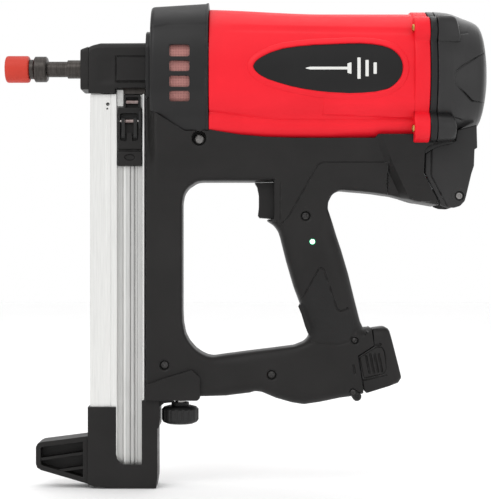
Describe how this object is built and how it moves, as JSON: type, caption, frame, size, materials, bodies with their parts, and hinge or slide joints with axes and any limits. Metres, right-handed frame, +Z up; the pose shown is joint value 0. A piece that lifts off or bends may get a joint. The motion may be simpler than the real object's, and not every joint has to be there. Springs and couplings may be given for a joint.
{
  "type": "gas-actuated nail gun",
  "caption": "Cordless combustion nail gun with a vertical strip magazine, red engine shroud, D-shaped handle, battery and hinged gas bay.",
  "frame": {"origin": "centre of the nail bore at the front face of the muzzle cap", "axes": "-X out of the muzzle along the barrel, +Z up away from the magazine, Y = 0 on the split plane of the clamshell handle, with the follower latch and the housing screw heads on the -Y side"},
  "size_m": [0.4024, 0.1072, 0.4024],
  "materials": {
    "black_plastic": "fine moulded grain",
    "badge_black": "satin",
    "knob_black": "knurled",
    "inner_plastic": "matte",
    "red_plastic": "satin",
    "red_cap": "worn satin",
    "grip_rubber": "textured",
    "seal_rubber": "smooth",
    "dark_steel": "turned and blued",
    "steel": "machined",
    "cast_alu": "cast",
    "rail_alu": "anodised",
    "can": "lacquered",
    "brass": "plain",
    "screen": "fine mesh",
    "led": "clear",
    "board": "lacquered",
    "ceramic": "glazed"
  },
  "bodies": {
    "frame": {"nose_plate": "black_plastic", "nose_housing": "black_plastic", "nail_guide": "steel", "nose_frame": "cast_alu", "front_cover": "black_plastic", "filter_screens": "screen", "drive_cylinder": "cast_alu", "bumper": "seal_rubber", "cylinder_seals": "seal_rubber", "cylinder_head": "cast_alu", "spark_plug": "ceramic", "fan_motor": "steel", "head_ring": "black_plastic", "rear_cap": "black_plastic", "rear_cap_screws": "steel", "shroud": "red_plastic", "shroud_inserts": "brass", "badges": "badge_black", "housing_left": "black_plastic", "housing_right": "black_plastic", "housing_screws": "steel", "grip_pad_left": "grip_rubber", "grip_pad_right": "grip_rubber", "trigger_switch": "inner_plastic", "trigger_spring": "steel", "status_led": "led", "control_board": "board", "gas_can": "can", "metering_valve": "inner_plastic", "gas_tube": "inner_plastic", "gas_door_pin": "steel", "battery_contacts": "brass", "magazine_pin": "steel", "magazine_bracket": "black_plastic", "sleeve_spring": "steel"},
    "probe": {"muzzle_cap": "red_cap", "contact_probe": "dark_steel", "probe_linkage": "steel", "combustion_sleeve": "cast_alu"},
    "piston": {"piston": "cast_alu", "piston_rings": "steel", "driver_blade": "steel"},
    "fan": {"fan_impeller": "cast_alu"},
    "trigger": {"trigger": "black_plastic"},
    "gas_door": {"gas_door": "black_plastic"},
    "battery": {"battery_pack": "black_plastic"},
    "battery_latch": {"battery_latch": "grip_rubber"},
    "magazine": {"magazine_rail": "rail_alu", "magazine_hook": "steel", "feed_block": "cast_alu", "spring_bracket": "black_plastic", "follower_spring": "steel", "magazine_foot": "black_plastic", "support_foot": "black_plastic", "magazine_screws": "steel"},
    "follower": {"follower": "black_plastic", "latch_pin": "steel"},
    "follower_latch": {"follower_latch": "black_plastic"},
    "knob_shaft": {"knob_screw": "steel"},
    "knob": {"knob": "knob_black"}
  },
  "joints": [
    {"name": "probe_slide", "type": "slide", "parent": "frame", "child": "probe", "axis": [1, 0, 0], "range_m": [0, 0.024], "stiffness_N_per_m": 800, "springref_m": -0.01, "deforming": ["sleeve_spring"]},
    {"name": "piston_slide", "type": "slide", "parent": "frame", "child": "piston", "axis": [-1, 0, 0], "range_m": [0, 0.094]},
    {"name": "fan_spin", "type": "hinge", "parent": "frame", "child": "fan", "pos_m": [0.328, 0, 0], "axis": [1, 0, 0], "continuous": true},
    {"name": "trigger_slide", "type": "slide", "parent": "frame", "child": "trigger", "axis": [1, 0, 0], "range_m": [0, 0.007], "stiffness_N_per_m": 1500, "springref_m": -0.003, "deforming": ["trigger_spring"]},
    {"name": "gas_door_hinge", "type": "hinge", "parent": "frame", "child": "gas_door", "pos_m": [0.3756, 0, -0.1077], "axis": [0, 1, 0], "range_deg": [0, 80]},
    {"name": "battery_slide", "type": "slide", "parent": "frame", "child": "battery", "axis": [0.9703, 0, 0.2419], "range_m": [0, 0.075]},
    {"name": "battery_latch_press", "type": "slide", "parent": "battery", "child": "battery_latch", "axis": [0, 1, 0], "range_m": [0, 0.0015], "stiffness_N_per_m": 3000, "springref_m": -0.0005},
    {"name": "magazine_swing", "type": "hinge", "parent": "frame", "child": "magazine", "pos_m": [0.0755, 0, -0.0145], "axis": [0, 1, 0], "range_deg": [0, 12]},
    {"name": "follower_slide", "type": "slide", "parent": "magazine", "child": "follower", "axis": [0, 0, -1], "range_m": [0, 0.238], "stiffness_N_per_m": 20, "springref_m": -0.25},
    {"name": "follower_latch_tilt", "type": "hinge", "parent": "follower", "child": "follower_latch", "pos_m": [0.104, -0.0119, -0.0445], "axis": [1, 0, 0], "range_deg": [0, 11], "stiffness_Nm_per_rad": 0.05, "springref_deg": -11.46},
    {"name": "knob_slide", "type": "slide", "parent": "frame", "child": "knob_shaft", "axis": [0, 0, -1], "range_m": [0, 0.005]},
    {"name": "knob_turn", "type": "hinge", "parent": "knob_shaft", "child": "knob", "pos_m": [0.146, 0, -0.29], "axis": [0, 0, 1], "range_deg": [0, 1440]}
  ],
  "couplings": [
    {"joint": "knob_turn", "follows": "knob_slide", "rad_per_m": 5026.5}
  ]
}
